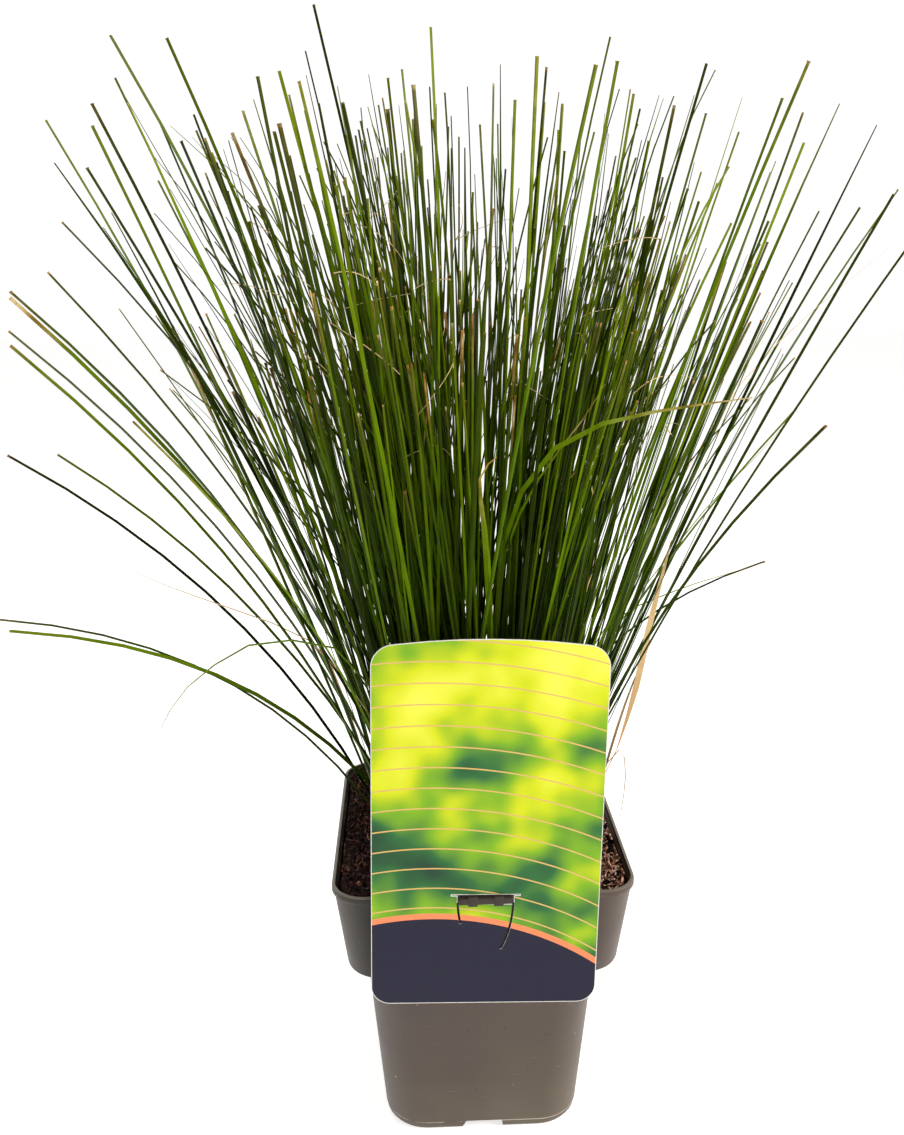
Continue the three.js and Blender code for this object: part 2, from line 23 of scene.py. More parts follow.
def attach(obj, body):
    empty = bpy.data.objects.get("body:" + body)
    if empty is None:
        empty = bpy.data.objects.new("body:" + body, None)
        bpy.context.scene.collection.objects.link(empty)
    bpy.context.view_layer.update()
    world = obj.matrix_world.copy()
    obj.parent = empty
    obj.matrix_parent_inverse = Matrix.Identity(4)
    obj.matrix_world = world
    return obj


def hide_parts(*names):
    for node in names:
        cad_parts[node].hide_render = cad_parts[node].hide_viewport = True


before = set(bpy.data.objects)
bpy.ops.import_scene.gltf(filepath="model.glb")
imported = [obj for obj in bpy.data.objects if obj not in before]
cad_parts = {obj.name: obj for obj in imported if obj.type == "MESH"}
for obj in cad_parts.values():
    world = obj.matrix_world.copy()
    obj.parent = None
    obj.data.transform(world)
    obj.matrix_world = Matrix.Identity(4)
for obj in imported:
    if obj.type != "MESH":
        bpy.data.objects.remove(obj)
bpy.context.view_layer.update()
MM = 0.001

# %% [markdown]
# ## Tools for the hand
#
# Most pieces start as a primitive and are then shaped in edit mode. An operator acts on all that
# is selected, so each step first picks the vertices, edges or faces that it means, by their place.


# %% Select, pick and cut
def select_only(*pieces):
    """Selects only these objects. The first is the active one."""
    bpy.ops.object.select_all(action="DESELECT")
    for piece in pieces:
        piece.select_set(True)
    bpy.context.view_layer.objects.active = pieces[0]


def start(kind, name, **settings):
    """Adds a primitive at its size and place, and puts that place into its mesh."""
    bpy.ops.object.select_all(action="DESELECT")
    getattr(bpy.ops.mesh, f"primitive_{kind}_add")(**settings)
    piece = bpy.context.object
    piece.name = name
    bpy.ops.object.transform_apply(location=True, rotation=True, scale=True)
    return piece


@contextmanager
def edited(piece):
    """Holds a piece in edit mode, at first with all of it selected."""
    select_only(piece)
    bpy.ops.object.mode_set(mode="EDIT")
    bpy.ops.mesh.select_all(action="SELECT")
    yield
    bpy.ops.object.mode_set(mode="OBJECT")


def pick(kind, test):
    """In edit mode, selects the vertices, edges or faces whose middle passes a test."""
    bpy.ops.mesh.select_mode(type=kind)
    bpy.ops.mesh.select_all(action="DESELECT")
    mesh = bmesh.from_edit_mesh(bpy.context.object.data)
    for part in {"VERT": mesh.verts, "EDGE": mesh.edges, "FACE": mesh.faces}[kind]:
        corners = [corner.co for corner in getattr(part, "verts", [part])]
        part.select_set(bool(test(sum(corners, Vector()) / len(corners))))
    mesh.select_flush_mode()
    bmesh.update_edit_mesh(bpy.context.object.data)


def scale(factors, about):
    """Scales what is selected about a point."""
    bpy.ops.transform.resize(value=factors, center_override=about)


def face_out():
    """In edit mode, turns all faces of a closed shape outwards."""
    bpy.ops.mesh.select_all(action="SELECT")
    bpy.ops.mesh.normals_make_consistent(inside=False)


def modify(piece, kind, **settings):
    """Adds a modifier and applies it."""
    select_only(piece)
    modifier = piece.modifiers.new(kind.title(), kind)
    for option, value in settings.items():
        setattr(modifier, option, value)
    bpy.ops.object.modifier_apply(modifier=modifier.name)


def combine(piece, other, operation):
    """Cuts another closed piece from this one, or adds it, and uses the other up."""
    modify(piece, "BOOLEAN", operation=operation, solver="EXACT", object=other)
    bpy.data.objects.remove(other)


def to_metres(piece):
    """A piece that was shaped in millimetres becomes its real size."""
    select_only(piece)
    scale((MM, MM, MM), (0, 0, 0))
    bpy.ops.object.transform_apply(location=True, rotation=True, scale=True)


def join(pieces, name):
    select_only(*pieces)
    bpy.ops.object.join()
    bpy.context.object.name = name
    return bpy.context.object


def complete(piece, slot, *replaced, smooth=60):
    """Shades a piece, and joins it to the part in place of the nodes that it stands for."""
    select_only(piece)
    bpy.ops.object.shade_smooth_by_angle(angle=math.radians(smooth))
    piece.data.name = piece.name
    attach(piece, "root")
    if replaced:
        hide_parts(*replaced)
    print(f"{piece.name}: {len(piece.data.polygons)} faces")


# %% [markdown]
# ## Tools for the finishes
#
# Every finish is a Principled shader fed by a few procedural nodes. Colours are sRGB hex values,
# as the eye reads them on a screen, and are turned to the linear values that a shader works in. A
# finish is a function that adds its nodes and returns what goes into the shader's sockets.


# %% Colours and nodes
def linear(shade):
    """An sRGB hex colour as linear red, green, blue and alpha."""
    parts = [int(shade[i:i + 2], 16) / 255 for i in (1, 3, 5)]
    return [c / 12.92 if c <= 0.04045 else ((c + 0.055) / 1.055) ** 2.4 for c in parts] + [1]


def feed(target, inputs):
    """Gives a node's inputs their values, or links from a socket or from a node's first output."""
    for socket, value in dict(inputs).items():
        if isinstance(value, bpy.types.Node):
            value = value.outputs[0]
        if isinstance(value, bpy.types.NodeSocket):
            target.id_data.links.new(value, target.inputs[socket])
        else:
            target.inputs[socket].default_value = value


def node(tree, kind, inputs=(), stops=(), **settings):
    """Adds a shader node: its own settings, its inputs, and a ramp's places and colours."""
    added = tree.nodes.new("ShaderNode" + kind)
    for option, value in settings.items():
        setattr(added, option, value)
    feed(added, inputs)
    for i, (place, shade) in enumerate(stops):
        ramp = added.color_ramp.elements
        stop = ramp[i] if i < 2 else ramp.new(place)
        stop.position = place
        stop.color = linear(shade)
    return added


def new_material(name, finish):
    """A material whose finish adds its nodes and returns what goes into the Principled shader."""
    material = bpy.data.materials.new(name)
    material.use_nodes = True
    add = partial(node, material.node_tree)
    place = add("TexCoord").outputs["Object"]
    feed(material.node_tree.nodes["Principled BSDF"], finish(add, place))
    print("finish:", name)
    return material


# %% [markdown]
# ## Camera
#
# The camera stands close, a little to the left of the pot's middle and above the card, and looks
# down at about 16 degrees. From so near, the rim shows wider than the foot.

# %% Place the camera
CAMERA_PLACE = Vector((-27.1, -470.0, 392.3))
CAMERA_PITCH = 0.274
CAMERA_YAW = 0.036
CAMERA_ROLL = 0.011

bpy.ops.object.camera_add()
camera = bpy.context.object
camera.name = "camera"
camera.data.sensor_fit = "VERTICAL"
camera.data.sensor_height = 36
camera.data.lens = 34.93
camera.data.clip_start = 0.01
camera.matrix_world = (
    Matrix.Translation(CAMERA_PLACE * MM)
    @ Matrix.Rotation(-CAMERA_YAW, 4, "Z")
    @ Matrix.Rotation(math.pi / 2 - CAMERA_PITCH, 4, "X")
    @ Matrix.Rotation(-CAMERA_ROLL, 4, "Z")
)
bpy.context.scene.camera = camera
bpy.context.scene.view_settings.view_transform = "Standard"

# %% [markdown]
# ## Floor and light
#
# The pot stands on a white acrylic table that is lit from below, so its shadow is faint. It is a
# disc with its edge turned down. The sky is white at eye level, as the backdrop, and dims
# overhead, so that it doesn't wash out the colours. Large soft lamps give the leaves highlights
# and dark gaps.

# %% The table, the lamps and the sky
TABLE_RADIUS = 6
TABLE_EDGE = 0.1
TABLE_GLOW = 0.66
PLANT_MIDDLE = Vector((0, 0, 0.25))
LAMPS = {  # place, size, watts and colour
    "window": ((1.5, -0.6, 1.0), 0.7, 27, "#fff8ee"),
    "fill": ((-1.4, -0.9, 0.7), 0.9, 2, "#eef4ff"),
    "back_light": ((-0.7, 1.2, 1.3), 0.6, 8, "#fffdf4"),
}


def lit_acrylic(add, place):
    cloud = add("TexNoise", {"Vector": place, "Scale": 2, "Detail": 2})
    tone = add("ValToRGB", {"Fac": cloud}, [(0.3, "#e6e6e4"), (0.7, "#e9e9e7")])
    return {"Base Color": tone, "Roughness": 0.9, "Emission Color": linear("#ffffff"),
            "Emission Strength": TABLE_GLOW}


table = start("circle", "acrylic_table", vertices=96, radius=TABLE_RADIUS, fill_type="NGON")
with edited(table):
    pick("EDGE", lambda middle: middle.length > TABLE_RADIUS / 2)
    bpy.ops.mesh.extrude_edges_move(TRANSFORM_OT_translate={"value": (0, 0, -TABLE_EDGE)})
    scale((1.01, 1.01, 1), (0, 0, 0))
table.data.materials.append(new_material("white_acrylic_lit_from_below", lit_acrylic))

for name, (place, size, watts, shade) in LAMPS.items():
    bpy.ops.object.light_add(type="AREA", location=place)
    light = bpy.context.object
    light.name = name
    light.data.size = size
    light.data.energy = watts
    light.data.color = linear(shade)[:3]
    aim = PLANT_MIDDLE - light.location
    light.rotation_euler = aim.to_track_quat("-Z", "Y").to_euler()

world = bpy.data.worlds.new("sky")
world.use_nodes = True
sky = world.node_tree
upward = node(sky, "SeparateXYZ", {"Vector": node(sky, "TexCoord").outputs["Generated"]})
dimming = node(sky, "MapRange", {"Value": upward.outputs["Z"], 1: 0.25, 2: 0.55, 3: 1.05, 4: 0.25})
feed(sky.nodes["Background"], {"Strength": dimming, "Color": linear("#ffffff")})
bpy.context.scene.world = world

# %% [markdown]
# ## The leaf
#
# A fresh sedge leaf is a stiff channelled strip, 1 to 2 mm wide. Its skin is waxy, so it is green
# with a soft gloss, and its parallel veins show as fine lines. Old leaves turn bronze from the
# tip, and a clipped end dries tan.
#
# Each vertex of a blade says how far along the leaf it is, the tone of that leaf, from a dark green
# that is painted shade to a pale one, and how dry it is there. These numbers follow every curve of
# the leaf, which a pattern in space wouldn't.

# %% Leaf, sheath and dry leaf finishes
LEAF_NUMBERS = ("along", "tone", "dryness")


def fresh_leaf(add, place):
    along, tone, dryness = (add("Attribute", attribute_name=name).outputs["Fac"]
                            for name in LEAF_NUMBERS)
    # The dark green is painted shade, for leaves in shade within the clump; the tone mixes it with
    # the pale green.
    painted_shade_green = add("ValToRGB", {"Fac": along}, [
        (0.0, "#46501e"), (0.12, "#122002"), (0.6, "#142400"), (0.9, "#1a2800"), (1.0, "#262e02")])
    pale = add("ValToRGB", {"Fac": along}, [
        (0.0, "#7c7c36"), (0.15, "#4a6600"), (0.6, "#5e7c00"), (0.88, "#6e8806"), (1.0, "#747e14")])
    green = add("MixRGB", {"Fac": tone, "Color1": painted_shade_green, "Color2": pale})
    # Blotches about 8 mm long keep one leaf from being the same green all the way.
    blotch = add("TexNoise", {"Vector": place, "Scale": 120, "Detail": 3})
    mottle = add("MapRange", {"Value": blotch, 3: 0.55, 4: 1.4})
    mottled = add("HueSaturation", {"Value": mottle, "Color": green})
    # Veins, drawn at six to a blade so that they show.
    across = add("Mapping", {"Vector": add("UVMap"), "Scale": (48, 6, 1)})
    vein = add("TexNoise", {"Vector": across, "Scale": 1, "Detail": 1})
    veined = add("MixRGB", {"Fac": 0.4, "Color1": mottled, "Color2": vein}, blend_type="OVERLAY")
    dried = add("ValToRGB", {"Fac": blotch}, [
        (0.35, "#6e4420"), (0.5, "#b8844c"), (0.65, "#e0c694")])
    return {
        "Base Color": add("MixRGB", {"Fac": dryness, "Color1": veined, "Color2": dried}),
        "Roughness": add("MapRange", {"Value": dryness, 3: 0.46, 4: 0.75}),
        "Normal": add("Bump", {"Height": vein, "Strength": 0.25, "Distance": 0.1 * MM}),
        "IOR": 1.42, "Specular IOR Level": 0.2, "Specular Tint": linear("#c8dc78")}


def leaf_sheath(add, place):
    """The folded leaf bases: straw and dull red near the soil, green above."""
    along = add("Attribute", attribute_name="along").outputs["Fac"]
    grain = add("Mapping", {"Vector": place, "Scale": (1500, 1500, 60)})
    fibre = add("TexNoise", {"Vector": grain, "Scale": 1, "Detail": 2})
    height = add("Math", {0: along, 1: fibre, 2: -0.1}, operation="MULTIPLY_ADD")
    return {
        "Base Color": add("ValToRGB", {"Fac": height}, [
            (0.1, "#4a2c1a"), (0.28, "#8a6238"), (0.42, "#9a8a4a"), (0.62, "#6b8430")]),
        "Normal": add("Bump", {"Height": fibre, "Strength": 0.5, "Distance": 0.2 * MM}),
        "Roughness": 0.6}


def dead_leaf(add, _):
    """A dead leaf has lost its wax: papery, tan, with brown streaks and a rusty base."""
    along = add("Attribute", attribute_name="along").outputs["Fac"]
    across = add("Mapping", {"Vector": add("UVMap"), "Scale": (40, 14, 1)})
    streak = add("TexNoise", {"Vector": across, "Scale": 1, "Detail": 3})
    base = add("ValToRGB", {"Fac": along}, [
        (0.0, "#a06848"), (0.3, "#e4ac78"), (0.75, "#eccc94"), (1.0, "#b08c5c")])
    return {
        "Base Color": add("MixRGB", {"Fac": 0.5, "Color1": base, "Color2": streak},
                          blend_type="OVERLAY"),
        "Normal": add("Bump", {"Height": streak, "Strength": 0.6, "Distance": 0.2 * MM}),
        "Roughness": 0.75}


LEAF_FINISH = new_material("waxy_sedge_leaf", fresh_leaf)
SHEATH_FINISH = new_material("fibrous_leaf_sheath", leaf_sheath)
DEAD_FINISH = new_material("papery_dead_leaf", dead_leaf)

# %% [markdown]
# ### One blade, modelled once
#
# A flat strip would do for a leaf, but a keel gives it a light and a dark side. So a four-sided
# cylinder is squeezed into the leaf's section: two edges, a shallow channel between them and the
# keel below. Its long edges are cut into rings, so that it can bend. It is 1 wide and 1 high, and
# every leaf is a copy of it.

# %% The straight blade and the sheath
BLADE_RINGS = 13
CHANNEL = 0  # how far the channel's floor, the edges and the keel lie from the middle
EDGES = 0.3
KEEL = -0.26
SHEATH_RINGS = 5
FLUTE = 0.86


def rod(name, sides):
    return start("cylinder", name, vertices=sides, radius=0.5, depth=1, location=(0, 0, 0.5))


def cut_in_rings(rings):
    pick("EDGE", lambda middle: 0.1 < middle.z < 0.9)
    bpy.ops.mesh.subdivide(number_cuts=rings - 2)


BLADE = rod("blade", 4)
with edited(BLADE):
    for place, goal in ((0.5, CHANNEL), (0, EDGES), (-0.5, KEEL)):
        pick("VERT", lambda corner: abs(corner.y - place) < 0.01)
        bpy.ops.transform.translate(value=(0, goal - place, 0))
    cut_in_rings(BLADE_RINGS)

SHEATH = rod("sheath", 16)  # it has eight flutes, like the edges of leaf bases that overlap
with edited(SHEATH):
    pick("VERT", lambda corner: round(math.atan2(corner.y, corner.x) / (math.pi / 8)) % 2)
    scale((FLUTE, FLUTE, 1), (0, 0, 0.5))
    cut_in_rings(SHEATH_RINGS)
print("one blade:", len(BLADE.data.polygons), "faces; one sheath:", len(SHEATH.data.polygons))

# %% [markdown]
# ### Laying a blade along a line
#
# A leaf's line has one point for each ring of the blade. Each ring is set square to the line, at
# the leaf's width there, and turned by the leaf's twist. A curve modifier bends too, but doesn't
# give each ring its own width, twist and numbers.


# %% Lay a copy of a straight piece along a line
def places_of(mesh):
    """Where a mesh's vertices are, one row for each."""
    places = np.empty(len(mesh.vertices) * 3)
    mesh.vertices.foreach_get("co", places)
    return places.reshape(-1, 3)


def ring_frames(line, twist):
    """Which way each ring faces: its directions across the blade and towards the channel."""
    along = np.gradient(line, axis=0)
    along /= np.linalg.norm(along, axis=1, keepdims=True)
    out = line[-1] - line[0]
    bearing = math.atan2(out[1], out[0])
    across = np.array([-math.sin(bearing), math.cos(bearing), 0])
    across = across - (along @ across)[:, None] * along
    across /= np.linalg.norm(across, axis=1, keepdims=True)
    inner = np.cross(along, across)
    cosine, sine = np.cos(twist)[:, None], np.sin(twist)[:, None]
    return cosine * across + sine * inner, cosine * inner - sine * across


def lay(straight, line, widths, twist, finish, **numbers):
    """Lays a copy of a straight piece along a line, in mm, and gives its vertices their numbers."""
    rings = len(line)
    laid = straight.copy()
    laid.data = straight.data.copy()
    bpy.context.collection.objects.link(laid)
    corners = places_of(laid.data)
    ring = np.rint(corners[:, 2] * (rings - 1)).astype(int)
    across, inner = ring_frames(line, twist)
    offset = corners[:, :1] * across[ring] + corners[:, 1:2] * inner[ring]
    places = line[ring] + widths[ring, None] * offset
    laid.data.vertices.foreach_set("co", (places * MM).ravel())
    for name in LEAF_NUMBERS:
        values = np.broadcast_to(numbers[name], rings)[ring]
        attribute = laid.data.attributes.new(name, "FLOAT", "POINT")
        attribute.data.foreach_set("value", values.astype(np.float32))
    laid.data.materials.append(finish)
    return laid


# %% [markdown]
# ### Where the leaves go
#
# In a packed shoot, each leaf ends in a small triangle. Its three corners each meet four others,
# which no other triangle's do. From there the leaf is walked down, three corners at a time, until
# it runs into the sheath. The middles of those rings are points of the leaf's line.

# %% Read the leaves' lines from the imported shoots
SOIL_TOP = 127
ROOT_RISE = 4  # a leaf's root lies in the sheath, this far above the soil
ROOT_SPREAD = 1.3  # and this far from its axis
SHEATH_TOP = 151
TIP_NARROWING = 0.72  # a packed leaf's tip is this share of its width


def corners_and_mates(packed):
    """A node's corners, each once, in mm, its faces, and the corners next to each corner."""
    places = np.round(places_of(packed.data) / MM, 3)
    corners, index = np.unique(places, axis=0, return_inverse=True)
    index = index.ravel()
    faces = [[int(index[v]) for v in face.vertices] for face in packed.data.polygons]
    mates = [set() for _ in corners]
    for face in faces:
        for corner in face:
            mates[corner] |= set(face) - {corner}
    return corners, faces, mates


def read_shoot(packed):
    """A shoot's foot, and the line and the width of each of its leaves."""
    corners, faces, mates = corners_and_mates(packed)
    foot = corners[corners[:, 2] < corners[:, 2].min() + 0.1].mean(axis=0)
    leaves = []
    for face in faces:
        if any(len(mates[c]) != 4 or corners[c][2] < SHEATH_TOP + 15 for c in face):
            continue
        tip = corners[face]
        width = max(np.linalg.norm(tip - np.roll(tip, 1, axis=0), axis=1)) / TIP_NARROWING
        ring, seen, line = set(face), set(face), []
        while len(ring) == 3:
            middle = corners[sorted(ring)].mean(axis=0)
            if middle[2] > SHEATH_TOP + 4:
                line.append(middle)
            ring = set().union(*(mates[c] for c in ring)) - seen
            seen |= ring
        out = line[0][:2] - foot[:2]
        root = foot[:2] + ROOT_SPREAD * out / np.linalg.norm(out)
        line.append(np.array([*root, SOIL_TOP + ROOT_RISE]))
        leaves.append((np.array(line[::-1]), width))
    return foot, leaves


shoots = {name: read_shoot(packed) for name, packed in sorted(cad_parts.items())
          if name.startswith(("shoot_", "dry_leaf_"))}
print("leaves read:", sum(len(leaves) for _, leaves in shoots.values()))

# %% [markdown]
# ### Growing the finer leaves
#
# A packed leaf has only two to six straight steps. One smooth arc is fitted through its points,
# and a slight sway is added, since no real leaf is a perfect arc. Clipped leaves keep their width
# to a blunt dry end, and whole ones narrow to a point.
#
# Each shoot also has thinner young leaves. Most end in one of two bunches, which part to the right
# of the middle. A few more stray right across both, some as thin as a hair.

# %% The lines of the leaves
CLIPPED_BELOW = 392  # most leaves that end lower than this were clipped
CLIPPED = {"packed": 0.7, "young": 0.8, "wandering": 0.5}  # the share of the others that were
HARDLY_DRY = 0.5  # lengths of the dry ends: hardly any, short, or one of the long ones
DRY_END = 1.8
LONG_DRY_ENDS = (5, 14)
LOW_ENDS = (20, 66, 14)  # how many leaves in a hundred have which, where they were clipped,
HIGH_ENDS = (70, 26, 4)  # and at the top, where the ends are also fresher
SWAY = 1.6
OUTER_REACH = 150  # leaves that reach this far out, or this high, stay wide
OUTER_HEIGHT = 400
INNER_REACH = 60
OUTER_WIDTHS = (0.85, 1.1)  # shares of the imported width: of these leaves,
INNER_WIDTHS = (0.55, 0.95)  # of those that end near the middle,
OTHER_WIDTHS = ((0.3, 0.45), (0.7, 1))  # and of the rest, which are thin or broad
TALLEST = 475  # the one leaf in the front half that ends higher is broad, blunt and dark
BRONZED = 0.06  # the share of leaves that turn bronze towards the tip
PARTING = 6  # shoots to the left of this x grow into the left bunch, the others into the right
# The left and the right bunch: its middle, its spread, its leaves' lowest, highest and commonest
# ends, and how many each shoot adds.
BUNCHES = ((-42, 22, 290, 465, 395, 11), (54, 15, 290, 470, 395, 9))
STRAYS = 0.2  # this share spreads further
STRAY_SPREAD = 2
INNER_CROWN = 28  # a shoot further to the side than this adds only one
YOUNG_WIDTHS = (0.6, 1.7, 0.9)  # least, greatest and commonest
WANDERERS = 2  # of each shoot
WANDERER_WIDTHS = (0.45, 1.3, 0.6)
WANDERER_ENDS = ((-130, 90), (-80, 80), (330, 450))
ARCHING = 0.35  # a free leaf's bend lies up to this share of its height above its middle
LABEL_BACK = -56  # leaves stay behind this plane up to the card's top
LABEL_TOP = 252
draw = random.Random(7)
uniform = draw.uniform
grown = []  # the line of every leaf so far


def bend_through(line):
    """The bend of the arc between a line's ends that passes nearest the points between them."""
    steps = np.linalg.norm(np.diff(line, axis=0), axis=1)
    t = (np.cumsum(steps) / steps.sum())[:-1, None]
    pull = 2 * t * (1 - t)
    left = line[1:-1] - (1 - t) ** 2 * line[0] - t ** 2 * line[-1]
    return (pull * left).sum(axis=0) / (pull ** 2).sum()


def swayed(line, shares, amount):
    """Moves a line a little to the side, most at its middle and not at all at its ends."""
    push = np.array([uniform(-1, 1), uniform(-1, 1), 0]) * amount
    waves = np.sin(math.pi * shares) * np.cos(uniform(1, 4) * shares + uniform(0, 6))
    return line + waves[:, None] * push


def swaying_arc(root, bend, tip, sway):
    """An arc that sways a little, and how far along it each ring of a blade lies."""
    length = np.linalg.norm(tip - root)
    # The rings are even, with the last three close together at the tip.
    even = np.linspace(0, 1 - DRY_END / length, BLADE_RINGS - 2)
    shares = np.append(even, [1 - 0.4 * DRY_END / length, 1])
    t = shares[:, None]
    line = (1 - t) ** 2 * root + 2 * t * (1 - t) * bend + t ** 2 * tip
    return swayed(line, shares, sway), shares


def blade_leaf(line, shares, width, clipped):
    grown.append(line)
    from_tip = (1 - shares) * np.linalg.norm(line[-1] - line[0])
    high = line[-1][2] > CLIPPED_BELOW
    dry_end = draw.choices((HARDLY_DRY, DRY_END, uniform(*LONG_DRY_ENDS)),
                           HIGH_ENDS if high else LOW_ENDS)[0]
    tallest = line[-1][2] > TALLEST and line[-1][1] < 0
    if clipped or tallest:
        widths = width * (1 - 0.22 * shares ** 2)
        widths[-1] *= uniform(0.9, 1.4)
    else:
        widths = width * np.clip((1.1 - shares) / 0.35, 0.3, 1)
    bronze = uniform(0.1, 0.4) if draw.random() < BRONZED else 0
    dryness = np.maximum(np.clip(1.1 - from_tip / dry_end, 0, 0.4 if high else 1),
                         bronze * np.clip(2.2 * shares - 1.2, 0, 1))
    twist = uniform(-0.7, 0.7) + uniform(-1.3, 1.3) * shares
    # A leaf's tone is mostly either dark or pale, few are between. The dark end is painted shade, and
    # thin ones are made darker still, as painted shade.
    tone = draw.betavariate(0.6, 0.9) * min(1, width / 1.2)
    if tallest:
        twist, tone = 0.2 * twist, 0
    return lay(BLADE, line, widths, twist, LEAF_FINISH, along=shares, tone=tone, dryness=dryness)


def packed_leaf(line, width):
    tip = line[-1]
    smooth, shares = swaying_arc(line[0], bend_through(line), tip, SWAY)
    clipped = tip[2] < CLIPPED_BELOW or draw.random() < CLIPPED["packed"]
    if abs(tip[0]) > OUTER_REACH or tip[2] > OUTER_HEIGHT:
        width *= uniform(*OUTER_WIDTHS)
    elif abs(tip[0]) < INNER_REACH:
        width *= uniform(*INNER_WIDTHS)
    else:
        width *= draw.choice([uniform(*widths) for widths in OTHER_WIDTHS])
    return blade_leaf(smooth, shares, width, clipped)


def free_line(root, tip):
    """An arc from a root to a tip, which is moved back if the arc would pass through the card."""
    at_card = max(tip[2], LABEL_TOP) - root[2]
    tip[1] = max(tip[1], root[1] + (LABEL_BACK - root[1]) * (tip[2] - root[2]) / at_card)
    bend = (root + tip) / 2 + np.array([0, 0, uniform(0, ARCHING) * (tip[2] - root[2])])
    return swaying_arc(root, bend, tip, 4 * SWAY)


def young_leaf(root, middle, spread, *heights):
    """A thin leaf that ends in a bunch."""
    if draw.random() < STRAYS:
        spread *= STRAY_SPREAD
    tip = np.array([draw.gauss(middle + 0.3 * root[0], spread), draw.gauss(1.2 * root[1], 24),
                    draw.triangular(*heights)])
    return blade_leaf(*free_line(root, tip), draw.triangular(*YOUNG_WIDTHS),
                      draw.random() < CLIPPED["young"])


def wanderer(root):
    """A leaf that strays across the others, often as thin as a hair."""
    tip = np.array([uniform(*ends) for ends in WANDERER_ENDS])
    return blade_leaf(*free_line(root, tip), draw.triangular(*WANDERER_WIDTHS),
                      draw.random() < CLIPPED["wandering"])


# %% [markdown]
# ### The shoots
#
# A shoot is its sheath with its leaves. They never come apart, so they are joined into one object,
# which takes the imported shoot's place.

# %% Make the shoots
SHEATH_WIDTH = 5.6
SHEATH_TIP = 0.78
SHEATH_LEAN = 1.1


def sheath_of(foot, width):
    """A sheath from its foot in the soil to its leaning top."""
    shares = np.linspace(0, 1, SHEATH_RINGS)
    lean = 1 + (SHEATH_LEAN - 1) * np.clip(2 * shares - 1, 0, 1)
    heights = foot[2] + (SHEATH_TOP - foot[2]) * shares
    line = np.stack([foot[0] * lean, foot[1] * lean, heights], axis=1)
    widths = width * (1 - (1 - SHEATH_TIP) * shares)
    return lay(SHEATH, line, widths, np.zeros(SHEATH_RINGS), SHEATH_FINISH,
               along=shares, tone=draw.random(), dryness=0)


for name, (foot, leaves) in shoots.items():
    if not name.startswith("shoot_"):
        continue
    parts = [sheath_of(foot, SHEATH_WIDTH)]
    parts += [packed_leaf(line, width) for line, width in leaves]
    roots = [line[0] for line, _ in leaves]
    *bunch, many = BUNCHES[int(foot[0] > PARTING)]
    count = many if abs(foot[0]) < INNER_CROWN else 1
    parts += [young_leaf(draw.choice(roots), *bunch) for _ in range(count)]
    parts += [wanderer(draw.choice(roots)) for _ in range(WANDERERS)]
    complete(join(parts, f"leaves_of_{name}"), "leaf", name)

# %% [markdown]
# ### Curled threads
#
# Where leaves were clipped or frayed, fibres peel off, dry, and curl. Hair curves would draw them,
# but an export drops those. So each is a blade as thin as a hair, which starts on a leaf and turns
# steadily as it goes.

# %% Make the curled threads
THREADS = 45
THREAD_LENGTHS = (15, 55)
THREAD_WIDTHS = (0.4, 0.6)
THREAD_REACH = 110  # how far out, and
THREAD_HEIGHTS = (290, 410)  # how high, the tips of the leaves that carry them lie


def curled_thread(leaf):
    """A thread that leaves a leaf in its upper third."""
    shares = np.linspace(0, 1, BLADE_RINGS)
    ways = uniform(0, math.tau) + uniform(-2.5, 2.5) * shares
    rise = uniform(-0.3, 0.9) - uniform(0, 1.2) * shares
    run = np.stack([np.cos(ways), 0.6 * np.sin(ways), rise], axis=1)
    run *= uniform(*THREAD_LENGTHS) / BLADE_RINGS
    line = draw.choice(leaf[-5:]) + np.cumsum(run, axis=0) - run[0]
    width = uniform(*THREAD_WIDTHS)
    return lay(BLADE, line, width * (1.2 - shares), 2 * shares, DEAD_FINISH,
               along=0.75, tone=0, dryness=1)


carriers = [line for line in grown if abs(line[-1][0]) < THREAD_REACH
            and THREAD_HEIGHTS[0] < line[-1][2] < THREAD_HEIGHTS[1]]
complete(join([curled_thread(draw.choice(carriers)) for _ in range(THREADS)], "curled_threads"),
         "dry_leaf")

# %% [markdown]
# ### Dry leaves
#
# A dead leaf loses its stiffness: it hangs looser, rolls up along its length and twists. It is the
# same blade, laid narrower, with a stronger twist, so that its edges turn to the light and away.

# %% Make the dry leaves
DRY_SHEATH_WIDTH = 3
DRY_SHRINKING = 0.55  # what is left of a leaf's width

for name, (foot, leaves) in shoots.items():
    if name.startswith("shoot_"):
        continue
    parts = [sheath_of(foot, DRY_SHEATH_WIDTH)]
    for line, width in leaves:
        curled, shares = swaying_arc(line[0], bend_through(line), line[-1], 2.5 * SWAY)
        widths = DRY_SHRINKING * width * np.clip((1.03 - shares) / 0.5, 0.15, 1)
        twist = 1.2 * np.sin(5 * shares + uniform(0, 6))
        parts.append(lay(BLADE, curled, widths, twist, DEAD_FINISH,
                         along=shares, tone=0, dryness=1))
    complete(join(parts, f"fine_{name}"), "dry_leaf", name)
